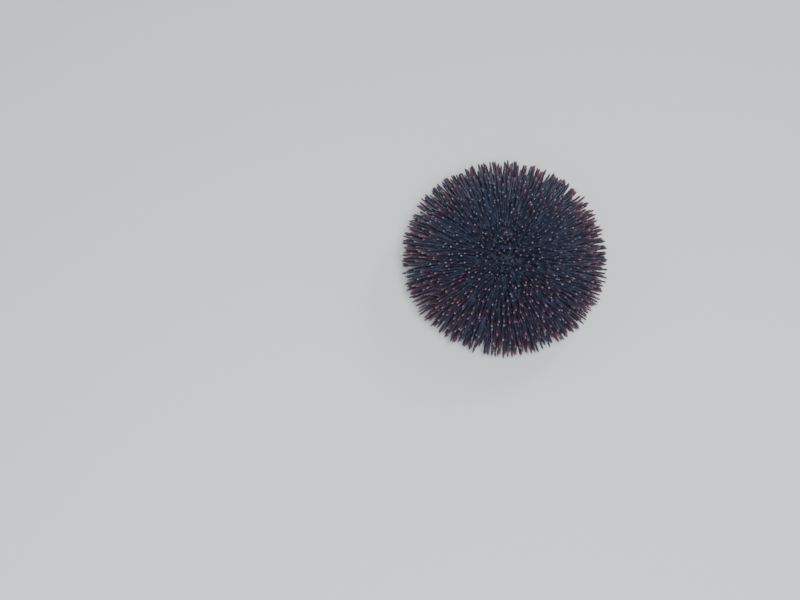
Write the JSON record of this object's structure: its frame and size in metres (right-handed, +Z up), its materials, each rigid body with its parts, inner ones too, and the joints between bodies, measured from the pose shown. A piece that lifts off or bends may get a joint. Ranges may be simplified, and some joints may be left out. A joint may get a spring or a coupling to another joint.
{
  "type": "purple sea urchin",
  "caption": "Life-size still model of a purple sea urchin: a flattened globe thickly set with short blunt dark spines, standing on the spines of its underside, with its mouth below.",
  "frame": {"origin": "on the floor, under the middle of the animal", "axes": "+Z up, from the mouth towards the apical disc; +X to the right and +Y away from the picture's camera"},
  "size_m": [0.1305, 0.1316, 0.0727],
  "materials": {
    "spines": "near-black violet calcite, satin, wine-red towards many tips, the tips pale grey-lilac",
    "disc": "near-black violet plates, finely stippled, satin",
    "membrane": "soft brownish purple skin, moist",
    "teeth": "off-white, glossy"
  },
  "bodies": {
    "root": {"ambulacrum_1": "spines", "interambulacrum_1": "spines", "ambulacrum_2": "spines", "interambulacrum_2": "spines", "ambulacrum_3": "spines", "interambulacrum_3": "spines", "ambulacrum_4": "spines", "interambulacrum_4": "spines", "ambulacrum_5": "spines", "interambulacrum_5": "spines", "apical_disc": "disc", "mouth_membrane": "membrane", "tooth_1": "teeth", "tooth_2": "teeth", "tooth_3": "teeth", "tooth_4": "teeth", "tooth_5": "teeth"}
  },
  "joints": []
}
